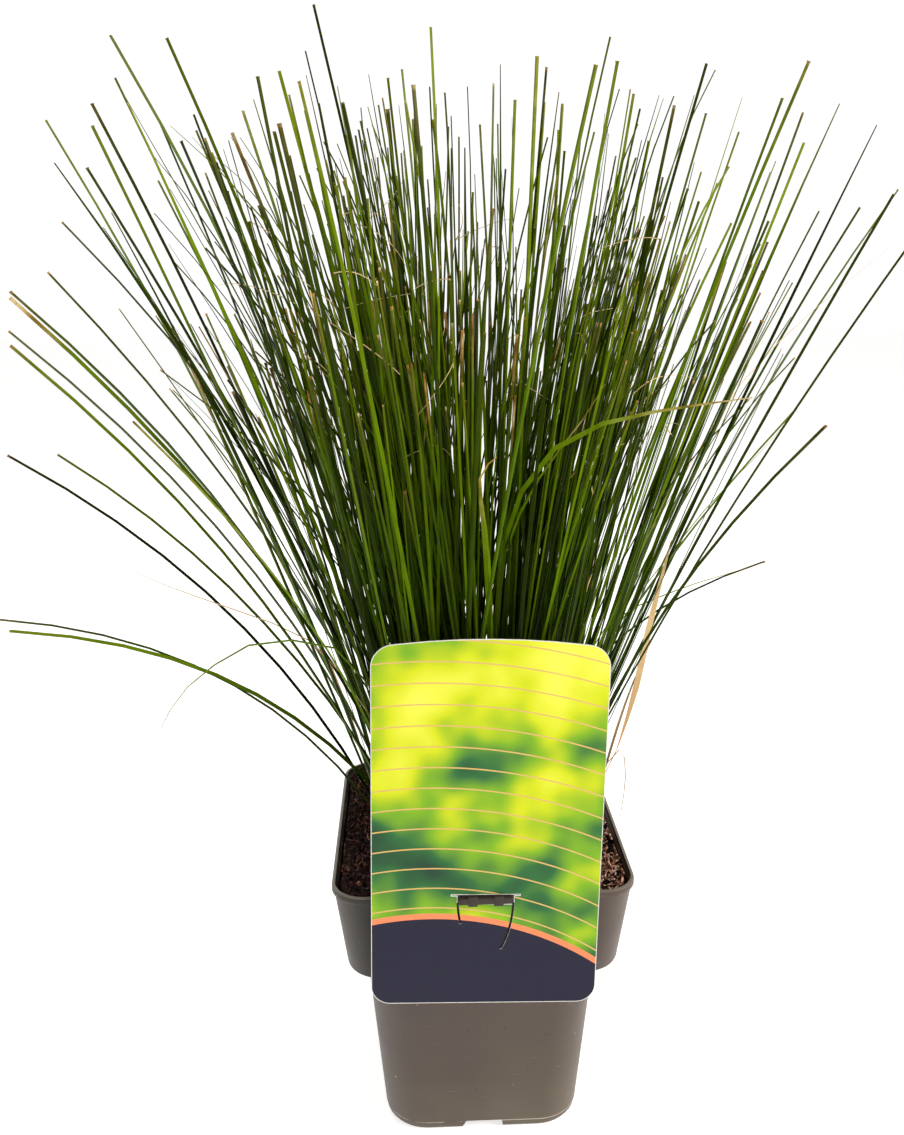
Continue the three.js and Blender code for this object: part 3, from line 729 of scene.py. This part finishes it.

# %% [markdown]
# ### Loose leaves
#
# Around the clump a few leaves go their own way: one arches over the others, hair-fine ones droop
# at the sides, and a dead one, withered to a thread below, leans out. No rule would place them, so
# each is drawn through a few given points, from its root to its tip.

# %% Draw the loose leaves
LOOSE_LEAVES = {  # width, colour and points, in mm
    "arching_leaf": (2, "green", [
        (2, -14, 131), (8, -46, 285), (16, -57, 311), (26, -65, 326), (40, -72, 334),
        (58, -78, 338.5), (75, -83, 341.5), (93, -86, 344)]),
    "drooping_leaf_1": (0.8, "green", [
        (-22, -22, 131), (-36, -32, 200), (-62, -40, 242), (-96, -46, 244), (-124, -50, 224),
        (-134, -50, 204)]),
    "drooping_leaf_2": (0.5, "tan", [
        (-30, -12, 131), (-50, -18, 205), (-72, -20, 236), (-104, -20, 249), (-134, -20, 261),
        (-154, -20, 272)]),
    "fine_leaf_1": (0.6, "green", [
        (30, -8, 131), (44, -4, 205), (62, 0, 235), (98, 10, 246), (137, 20, 254)]),
    "fine_leaf_2": (0.5, "green", [
        (34, 8, 131), (70, 15, 230), (110, 20, 284), (128, 20, 302), (147, 20, 325)]),
    "fine_leaf_3": (0.4, "tan", [
        (30, 14, 131), (72, 18, 250), (120, 20, 338), (145, 20, 364), (181, 20, 394)]),
    "split_leaf": (2.8, "tan", [
        (36, -8, 131), (54, -11, 152), (63, -12, 172), (70, -13, 203), (75, -14, 236),
        (84, -14, 274)]),
    "hanging_thread": (0.45, "tan", [
        (38, -14, 131), (56, -24, 176), (62, -30, 187), (64, -32, 170), (61, -34, 143)]),
    "folded_leaf": (2.8, "green", [
        (3, -12, 131), (4, -44, 241), (2, -52, 278), (-1, -64, 304), (-4, -70, 316),
        (-3, -71, 319), (0, -72, 321), (4, -73, 322)]),
    "crossing_leaf": (1.2, "green", [
        (-2, -14, 131), (9, -46, 282), (15, -54, 298), (24, -62, 318), (34, -68, 331),
        (39, -71, 339), (43, -73, 348)]),
}
LOOSE_SWAY = 1.5
ROUNDINGS = 10
FINE_STEPS = 61


def drawn_line(points, shares):
    """Straight steps between a few points, whose corners are rounded off little by little."""
    points = np.array(points, dtype=float)
    steps = np.linalg.norm(np.diff(points, axis=0), axis=1)
    at_points = np.append(0, np.cumsum(steps) / steps.sum())
    fine = np.linspace(0, 1, FINE_STEPS)
    line = np.stack([np.interp(fine, at_points, column) for column in points.T], axis=1)
    for _ in range(ROUNDINGS):
        line[1:-1] = (line[:-2] + 2 * line[1:-1] + line[2:]) / 4
    return np.stack([np.interp(shares, fine, column) for column in line.T], axis=1)


for name, (width, shade, points) in LOOSE_LEAVES.items():
    shares = 1 - np.linspace(1, 0, BLADE_RINGS) ** 1.5  # closer together where they curve most
    line = swayed(drawn_line(points, shares), shares, LOOSE_SWAY)
    widths = width * np.clip((1.05 - shares) / 0.3, 0.2, 1)
    if name == "split_leaf":  # its lower half has withered to a thread
        widths *= np.clip(5.5 * shares - 1.9, 0.15, 1)
    twist = 0.3 * shares + (0 if name == "folded_leaf" else 1.4)  # most face the front
    if shade == "green":
        finish, slot, dryness = LEAF_FINISH, "leaf", np.clip(4 * shares - 3.2, 0, 0.7)
    else:
        finish, slot, dryness = DEAD_FINISH, "dry_leaf", 1
    piece = lay(BLADE, line, widths, twist, finish, along=shares, tone=0.9, dryness=dryness)
    piece.name = name
    complete(piece, slot)

# %% [markdown]
# ## The pot
#
# The pot is moulded from recycled polypropylene, 1.4 mm thick. Its walls flare so that it stacks
# and leaves its mould, and a collar stiffens the top. A lathe makes only round pots, so this one
# is grown from its foot: a square with rounded corners is extruded and scaled, ring by ring. The
# inside, made the same way, the channels under it and the drain holes are cut away.

# %% The pot's shape
CORNER_SEGMENTS = 10
TOUCH = 0.02
POT_OUTSIDE = [  # height, half the width, corner radius
    (0, 43.2, 17.7), (0.35, 44.2, 18.7), (1.5, 45, 19.5), (3.9, 45.18, 19.43), (4.2, 45.5, 19.6),
    (91.4, 52, 17.1), (92.3, 52.5, 17.2), (92.6, 58, 14), (92.9, 58.9, 14.7), (93.4, 59.5, 15.2),
    (94.2, 59.8, 15.4), (131.8, 63.9, 13.3), (132.6, 64.2, 13.4), (132.9, 64.8, 13.9),
    (133.3, 65, 14), (135.2, 65, 14), (135.75, 64.8, 13.8), (136, 64.4, 13.4)]
POT_INSIDE = [(1.4, 43.6, 18.1), (93.9, 50.6, 15.6), (95.4, 58.35, 12.6), (132.8, 62.45, 12.6),
              (133.8, 63.5, 12.8), (137, 63.6, 12.8)]
POT_WALL = 1.4
CHANNEL_HEIGHT = 4.5
CHANNEL_FOOT = (-10.6, 9.5)  # the channel's sides at the floor
CHANNEL_ROOF = (-7.8, 8.6)  # and at its top
DRAIN_RADIUS = 4.5
DRAIN_PITCH = 27


def square_tower(name, rings):
    """A closed square column through rings of a height, half a width and a corner radius."""
    height, half, radius = rings[0]
    tower = start("plane", name, size=2 * half, location=(0, 0, height))
    with edited(tower):
        bpy.ops.mesh.bevel(offset=radius, segments=CORNER_SEGMENTS, affect="VERTICES")
        for higher, wider, rounder in rings[1:]:
            bpy.ops.mesh.extrude_region_move(
                TRANSFORM_OT_translate={"value": (0, 0, higher - height)})
            scale((wider / half, wider / half, 1), (0, 0, higher))
            scaled = radius * wider / half
            for x, y in ((1, 1), (-1, 1), (-1, -1), (1, -1)):
                # Scaled about the sharp corner that it rounds off, the arc gets its own radius.
                pick("VERT", lambda corner: abs(corner.z - higher) < TOUCH
                     and min(x * corner.x, y * corner.y) > wider - scaled - TOUCH)
                scale((rounder / scaled, rounder / scaled, 1), (x * wider, y * wider, higher))
            pick("FACE", lambda middle: abs(middle.z - higher) < TOUCH and middle.xy.length < TOUCH)
            height, half, radius = higher, wider, rounder
        face_out()
    return tower


def channel(margin, quarter_turns):
    """A bar under the pot from side to side, with sloping flanks, a margin larger all round."""
    top = CHANNEL_HEIGHT + margin
    bar = start("cube", "channel", size=2, scale=(1, 60, top / 2 + 0.5),
                location=(0, 0, top / 2 - 0.5))
    with edited(bar):
        for side, foot, roof in zip((-1, 1), CHANNEL_FOOT, CHANNEL_ROOF):
            for low, edge in ((True, foot), (False, roof)):
                pick("VERT", lambda corner: corner.x * side > 0 and (corner.z < 0) == low)
                bpy.ops.transform.translate(value=(edge + side * (margin - 1), 0, 0))
    bar.rotation_euler.z = quarter_turns * math.pi / 2
    bpy.ops.object.transform_apply(rotation=True)
    return bar


inside = square_tower("pot_inside", POT_INSIDE)
pot = square_tower("moulded_pot", POT_OUTSIDE)
for turns in (0, 1):
    combine(inside, channel(POT_WALL, turns), "DIFFERENCE")
    combine(pot, channel(0, turns), "DIFFERENCE")
combine(pot, inside, "DIFFERENCE")
for x, y in ((0, 0), (1, 0), (-1, 0), (0, 1), (0, -1)):
    drain = start("cylinder", "drain", vertices=32, radius=DRAIN_RADIUS,
                  depth=20, location=(x * DRAIN_PITCH, y * DRAIN_PITCH, 2))
    combine(pot, drain, "DIFFERENCE")

# %% [markdown]
# The card hangs on a lug at the middle of the front rim, where two nubs keep its window from
# slipping off. The mould makes them in one with the pot, so they are blocks with bevelled edges
# that a boolean fuses to the rim.

# %% Add the lug to the pot
RIM_BLOCKS = (  # name, lowest corner and highest corner
    ("lug", (-11.2, -67.5, 132.9), (11.2, -63.9, 136)),
    ("nub", (-7.4, -67.7, 132.1), (-3.4, -66.4, 136.8)),
    ("nub", (3.4, -67.7, 132.1), (7.4, -66.4, 136.8)))
LUG_EDGE = 0.45

for name, low, high in RIM_BLOCKS:
    low, high = Vector(low), Vector(high)
    bar = start("cube", name, size=1, scale=high - low, location=(low + high) / 2)
    with edited(bar):
        bpy.ops.mesh.bevel(offset=LUG_EDGE, segments=3)
    combine(pot, bar, "UNION")

# %% [markdown]
# ### The pot's plastic
#
# Recycled plastic is never one clean colour: it drifts between warm and cool taupe and holds dark
# specks. The mould leaves it satin. Handling adds short pale scratches, and watering leaves dust
# and lime near the foot. Each of these is one thin coat over the coats below.


# %% The pot's finish
# Where the painted shadow of the card on the collar is darkest.
CARD_SHADOW_PLACE = Vector((-40, -62, 0)) * MM
# Pale colour for the scratches, which are real wear, and for the painted highlight on the rim's top
# edge.
PALE_SCRATCH_AND_HIGHLIGHT = "#a79c90"


def recycled_plastic(add, place):
    drift = add("TexNoise", {"Vector": place, "Scale": 14, "Detail": 3})
    colour = add("ValToRGB", {"Fac": drift}, [
        (0.35, "#4c3f3a"), (0.5, "#50443a"), (0.65, "#544a3c")])
    # One speck to each cell of 7 mm, some dark and some pale.
    cell = add("TexVoronoi", {"Vector": place, "Scale": 140})
    speck = add("Math", {0: cell, 1: 0.06}, operation="LESS_THAN")
    grit = add("ValToRGB", {"Fac": cell.outputs["Color"]}, [(0.5, "#262019"), (0.6, "#a89c8e")])
    # Scratches run mostly round the pot, up to about 12 mm long.
    stretched = add("Mapping", {"Vector": place, "Rotation": (0.3, 0.2, 0.1), "Scale": (70, 70, 900)})
    strokes = add("TexNoise", {"Vector": stretched, "Scale": 1, "Detail": 4})
    scratch = add("ValToRGB", {"Fac": strokes}, [(0.69, "#000000"), (0.76, "#b0b0b0")])
    axes = add("SeparateXYZ", {"Vector": place})
    height = axes.outputs["Z"]
    low = add("MapRange", {"Value": height, 1: 0, 2: 0.03, 3: 0.3, 4: 0})
    patchy = add("TexNoise", {"Vector": place, "Scale": 60, "Detail": 5})
    dust = add("Math", {0: low, 1: patchy}, operation="MULTIPLY")
    # Lime from the water dries in a broken line in the step round the foot.
    step = add("Math", {0: height, 1: 4.1 * MM, 2: 0.35 * MM}, operation="COMPARE")
    broken = add("ValToRGB", {"Fac": patchy}, [(0.45, "#000000"), (0.53, "#dcdcdc")])
    lime = add("Math", {0: step, 1: broken}, operation="MULTIPLY")
    # Beside the card's left edge the collar is darkened: a painted shadow of the card. The lug, in
    # the card's window, is darkened too, as painted shade.
    level = add("VectorMath", {0: place, 1: (1, 1, 0)}, operation="MULTIPLY")
    near = add("VectorMath", {0: level, 1: CARD_SHADOW_PLACE}, operation="DISTANCE")
    card_shadow = add("MapRange", {"Value": near.outputs["Value"], 1: 9 * MM, 2: 31 * MM, 3: 0.95, 4: 0})
    collar = add("Math", {0: height, 1: 92.5 * MM}, operation="GREATER_THAN")
    painted_card_shadow = add("Math", {0: card_shadow, 1: collar}, operation="MULTIPLY")
    lug = add("Math", {0: axes.outputs["Y"], 1: -65.1 * MM}, operation="LESS_THAN")
    painted_shade = add("Math", {0: lug, 1: 0.6, 2: painted_card_shadow}, operation="MULTIPLY_ADD")
    # A painted highlight lightens the rim's top edge, but not the lug.
    edge = add("MapRange", {"Value": height, 1: 135.3 * MM, 2: 135.9 * MM, 3: 0, 4: 0.4})
    painted_rim_highlight = add("Math", {0: edge, 1: lug}, operation="SUBTRACT")
    # Over the specks, scratches, dust and lime come painted shade on the collar and lug, then a
    # painted highlight on the rim's top edge.
    for share, coat in ((speck, grit), (scratch, linear(PALE_SCRATCH_AND_HIGHLIGHT)), (dust, linear("#8f8274")),
                        (lime, linear("#d8cec0")), (painted_shade, linear("#120f0c")),
                        (painted_rim_highlight, linear(PALE_SCRATCH_AND_HIGHLIGHT))):
        colour = add("MixRGB", {"Fac": share, "Color1": colour, "Color2": coat})
    grain = add("TexNoise", {"Vector": place, "Scale": 1400, "Detail": 2})
    return {
        "Base Color": colour,
        "Roughness": add("MapRange", {"Value": patchy, 3: 0.36, 4: 0.52}),
        "Normal": add("Bump", {"Height": grain, "Strength": 0.15, "Distance": 0.1 * MM}),
        "IOR": 1.49, "Specular IOR Level": 0.32}


to_metres(pot)
pot.data.materials.append(new_material("recycled_polypropylene", recycled_plastic))
complete(pot, "pot", "pot", smooth=35)

# %% [markdown]
# ## The compost
#
# Potting compost is peat and shredded bark: almost black crumbs with red-brown fibres and a few
# paler chips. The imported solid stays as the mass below. Bump alone would look flat from so near,
# so on it lies a crust, a fine grid that two noises push up and down. Extruded down and pressed
# flat below, it becomes a closed block, which is trimmed to the pot's inside.

# %% The compost's finish and crust
CRUST_HALF = 61.5
CRUST_CORNER = 12.2
CRUST_LEVEL = 132
CRUST_FLOOR = 126.5
CRUST_CELLS = 120
CRUST_NOISES = (("lumps", 14, 5), ("crumbs", 2.2, 2.6))  # name, size and height


def compost(add, place):
    # A bit's tone: random, plus painted light at the right.
    tone = add("Attribute", attribute_name="tone").outputs["Fac"]
    crumbs = add("TexNoise", {"Vector": place, "Scale": 420, "Detail": 5, "Roughness": 0.7})
    mixed = add("Math", {0: tone, 1: crumbs, 2: crumbs}, operation="MULTIPLY_ADD")
    return {
        "Base Color": add("ValToRGB", {"Fac": mixed}, [
            (0.3, "#0c0302"), (0.48, "#200b07"), (0.62, "#582a1c"), (0.8, "#b88262"),
            (1.0, "#f0e6d6")]),
        "Normal": add("Bump", {"Height": crumbs, "Strength": 0.8, "Distance": 0.8 * MM}),
        "Roughness": 0.62,  # it is damp
        "Specular IOR Level": 0.25}


COMPOST = new_material("peat_and_bark_compost", compost)
soil_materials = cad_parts["soil"].data.materials
soil_materials.clear()
soil_materials.append(COMPOST)

crust = start("grid", "soil_crust", x_subdivisions=CRUST_CELLS,
              y_subdivisions=CRUST_CELLS, size=2 * CRUST_HALF + 2, location=(0, 0, CRUST_LEVEL))
for name, size, height in CRUST_NOISES:
    clouds = bpy.data.textures.new(name, "CLOUDS")
    clouds.noise_scale = size
    clouds.noise_depth = 3
    modify(crust, "DISPLACE", texture=clouds, strength=height, direction="Z")
with edited(crust):
    bpy.ops.mesh.extrude_region_move()
    scale((1, 1, 0), (0, 0, CRUST_FLOOR))
    face_out()
combine(crust, square_tower("crust_edge", [(118, CRUST_HALF, CRUST_CORNER),
                                           (140, CRUST_HALF, CRUST_CORNER)]), "INTERSECT")
to_metres(crust)
crust.data.materials.append(COMPOST)
complete(crust, "soil")

# %% [markdown]
# ### Fibres and chips
#
# Shredded bark leaves curled fibres and small chips on top. They stand proud and catch the light,
# so they are meshes too. A fibre is a thin rod, laid along a short curl as the leaves are, and a
# chip is a squashed ball of 20 faces.

# %% Make the fibres and chips
FIBRES = 2000
FIBRE_RINGS = 7
FIBRE_LENGTHS = (4, 15)
FIBRE_WIDTHS = (0.3, 1.4, 0.4)  # least, greatest and commonest
CHIPS = 260
STREWN = 60  # how far out they lie
CROWN = 34  # few lie inside this radius, among the shoots
# How much paler the bits at the right are painted, as painted light.
PAINTED_LIGHT_AT_RIGHT = 0.44
CORNER_MIDDLE = 49.8  # where the middles of the pot's rounded inside corners lie
CORNER_RADIUS = 12.6


def on_crust():
    """A place on the compost, mostly outside the crown."""
    while True:
        x, y = uniform(-STREWN, STREWN), uniform(-STREWN, STREWN)
        if math.hypot(x, y) > CROWN or draw.random() < 0.2:
            return x, y


def held_in(places, margin):
    """Pulls places back inside the pot's rounded corners and sides, which are a margin away."""
    middles = np.clip(places, -CORNER_MIDDLE, CORNER_MIDDLE)
    out = places - middles
    far = np.maximum(np.linalg.norm(out, axis=1, keepdims=True), TOUCH)
    return middles + out * np.minimum(1, (CORNER_RADIUS - margin) / far)


def tone_at(x):
    """Most bits are dark. At the right, where light falls on the compost, they are painted paler:
    painted light.
    """
    return draw.triangular(-0.15, 0.4, -0.05) + (PAINTED_LIGHT_AT_RIGHT if x > CROWN else 0)


def fibre_line():
    """A fibre lies curled on the crumbs, and its ends stand up a little."""
    x, y = on_crust()
    length = uniform(*FIBRE_LENGTHS)
    bearing, curl = uniform(0, math.tau), draw.gauss(0, 1.6)
    shares = np.linspace(0, 1, FIBRE_RINGS)
    ways = bearing + curl * (shares - 0.5)
    run = np.stack([np.cos(ways), np.sin(ways)], axis=1) * length / FIBRE_RINGS
    flat = held_in(np.cumsum(run, axis=0) + [x, y], 1.4)
    rise = uniform(0, 2.2) * (2 * shares - 1) ** 2 + uniform(1, 2.6)
    return np.column_stack([flat, CRUST_LEVEL + rise])


fibre = rod("fibre", 4)
with edited(fibre):
    cut_in_rings(FIBRE_RINGS)
strands = []
for _ in range(FIBRES):
    line = fibre_line()
    thick = np.full(FIBRE_RINGS, draw.triangular(*FIBRE_WIDTHS))
    strands.append(lay(fibre, line, thick, np.zeros(FIBRE_RINGS), COMPOST,
                       along=0, tone=tone_at(line[0][0]), dryness=0))
complete(join(strands, "soil_fibres"), "soil")

chips = []
for _ in range(CHIPS):
    x, y = held_in(np.array([on_crust()]), 4)[0]
    chip = start("ico_sphere", "chip", subdivisions=1, radius=uniform(0.5, 1.5),
                 location=(x, y, CRUST_LEVEL + uniform(0.5, 2.5)),
                 rotation=[uniform(0, 6) for _ in range(3)],
                 scale=(uniform(0.8, 3), uniform(0.6, 1), uniform(0.3, 0.7)))
    tones = chip.data.attributes.new("tone", "FLOAT", "POINT")
    tones.data.foreach_set("value", [tone_at(x)] * len(tones.data))
    chips.append(chip)
chips = join(chips, "soil_chips")
to_metres(chips)
chips.data.materials.append(COMPOST)
complete(chips, "soil", smooth=20)

# %% [markdown]
# ## The card
#
# The card is printed board with a gloss film on its front. It hangs on the lug by a window, and
# two curved cuts below that free a tongue that snaps behind the lug. A card maker cuts it from a
# sheet, and so does this: a thin block is trimmed to its bowed top by a huge cylinder, its corners
# are bevelled, and the window is cut through.

# %% The card's shape
CARD = {"half": 47.75, "below": -49, "above": 110, "bow": 3.6, "corner": 8, "thick": 0.5}
CARD_PLACE = Vector((0, -65.3, 134.45))  # the lug's middle, at the rim's face
CARD_LEAN = math.radians(2)
CARD_TURN = math.radians(1.5)
CUT = 0.4
OPENINGS = (("window", 23.6, 4.3, 0), ("side_cuts", 28.6, CUT, 1.95))  # width, height, middle
CUT_ARCS = ((11.8, 51.7, -25), (-11.8, -38, 15))  # side, radius and angle of each curved cut


def tongue_cut(side, radius, degrees):
    """A thin slit that runs down from the window's corner, sweeping round a far centre."""
    slit = start("plane", "slit", size=1,
                 location=(side - math.copysign(CUT / 2, side), 0, -1.5), scale=(CUT, 6, 1))
    with edited(slit):
        bpy.ops.mesh.spin(steps=12, angle=math.radians(degrees), axis=(0, 1, 0),
                          center=(side - radius, 0, -1.5))
        face_out()
    return slit


half, low, high = CARD["half"], CARD["below"], CARD["above"]
top = high + CARD["bow"]
card = start("cube", "hung_card", size=1, scale=(2 * half, CARD["thick"], top - low),
             location=(0, -CARD["thick"] / 2, (top + low) / 2))
round_top = (half ** 2 + CARD["bow"] ** 2) / (2 * CARD["bow"])
combine(card, start("cylinder", "bow", vertices=160, radius=round_top, depth=4,
                    location=(0, 0, top - round_top), rotation=(math.pi / 2, 0, 0)), "INTERSECT")
with edited(card):
    pick("EDGE", lambda middle: abs(abs(middle.x) - half) < TOUCH
         and abs(middle.y + CARD["thick"] / 2) < TOUCH and not low + 1 < middle.z < high - 1)
    bpy.ops.mesh.bevel(offset=CARD["corner"], segments=8)
for name, width, deep, middle in OPENINGS:
    combine(card, start("cube", name, size=1, scale=(width, 6, deep), location=(0, 0, middle)),
            "DIFFERENCE")

# %% [markdown]
# ### The card's print
#
# The print is a landscape made for this model: a navy hill with a coral edge, straw contour lines
# above it, and leafy yellows and greens behind. Its shapes are drawn by their distance from one
# point, in mm on the card, which a mapping node works out from the card's place. Nodes stay sharp
# at any size, where a picture file would blur.

# %% The card's finish
BARE_EDGE = 0.3  # the print's film stops this far from the outer edge and the window
HILL_MIDDLE = (-22, 0, -130)
HILL_RADIUS = 121
RING_WIDTH = 2.6
LINE_PITCH = 9
LINE_WIDTH = 0.6


def printed_film(add, place):
    card_mm = add("Mapping", {
        "Vector": place, "Location": CARD_PLACE * MM, "Rotation": (-CARD_LEAN, CARD_TURN, 0),
        "Scale": (MM, MM, MM)}, vector_type="TEXTURE")
    flat = add("VectorMath", {0: card_mm, 1: (1, 0, 1)}, operation="MULTIPLY")
    haze = add("TexNoise", {"Vector": flat, "Scale": 0.024, "Detail": 2})
    height = add("SeparateXYZ", {"Vector": flat}).outputs["Z"]
    lift = add("MapRange", {"Value": height, 1: CARD["below"], 2: CARD["above"], 3: -0.12, 4: 0.12})
    glow = add("Math", {0: haze, 1: lift}, operation="ADD")
    colour = add("ValToRGB", {"Fac": glow}, [
        (0.3, "#16302a"), (0.4, "#2c6a34"), (0.5, "#7cae1a"), (0.6, "#cfd80c"), (0.75, "#f0ee50")])
    far = add("VectorMath", {0: flat, 1: HILL_MIDDLE}, operation="DISTANCE").outputs["Value"]
    lap = add("Math", {0: far, 1: LINE_PITCH}, operation="MODULO")
    for where, limit, ink in ((lap, LINE_WIDTH, "#d9b26a"),
                              (far, HILL_RADIUS + RING_WIDTH, "#f08a5c"),
                              (far, HILL_RADIUS, "#1a1830")):
        inked = add("Math", {0: where, 1: limit}, operation="LESS_THAN")
        colour = add("MixRGB", {"Fac": inked, "Color1": colour, "Color2": linear(ink)})
    ripple = add("TexNoise", {"Vector": flat, "Scale": 0.06, "Detail": 1})
    return {
        "Base Color": colour,
        "Normal": add("Bump", {"Height": ripple, "Strength": 0.3, "Distance": 0.5 * MM}),
        "Roughness": 0.24, "Specular IOR Level": 0.25}


def bare_board(add, place):
    """The uncoated back and the cut edges: pale, matt and faintly fibrous."""
    fibres = add("TexNoise", {"Vector": place, "Scale": 700, "Detail": 4})
    tone = add("ValToRGB", {"Fac": fibres}, [(0.35, "#d9d6cf"), (0.65, "#e9e7e1")])
    return {"Base Color": tone, "Roughness": 0.8}


card.data.materials.append(new_material("bare_white_board", bare_board))
card.data.materials.append(new_material("gloss_film_over_print", printed_film))
with edited(card):
    pick("FACE", lambda middle: abs(middle.y + CARD["thick"]) < TOUCH)
    bpy.ops.mesh.inset(thickness=BARE_EDGE)
    card.active_material_index = 1
    bpy.ops.object.material_slot_assign()
for cut in CUT_ARCS:  # the tongue is cut after printing, so the film ends right at it
    combine(card, tongue_cut(*cut), "DIFFERENCE")
card.matrix_world = (Matrix.Translation(CARD_PLACE) @ Matrix.Rotation(-CARD_LEAN, 4, "X")
                     @ Matrix.Rotation(CARD_TURN, 4, "Y"))
bpy.ops.object.transform_apply(location=True, rotation=True, scale=True)
to_metres(card)
complete(card, "label", "label", smooth=30)

# %% The end
for straight in (BLADE, SHEATH, fibre):
    bpy.data.objects.remove(straight)
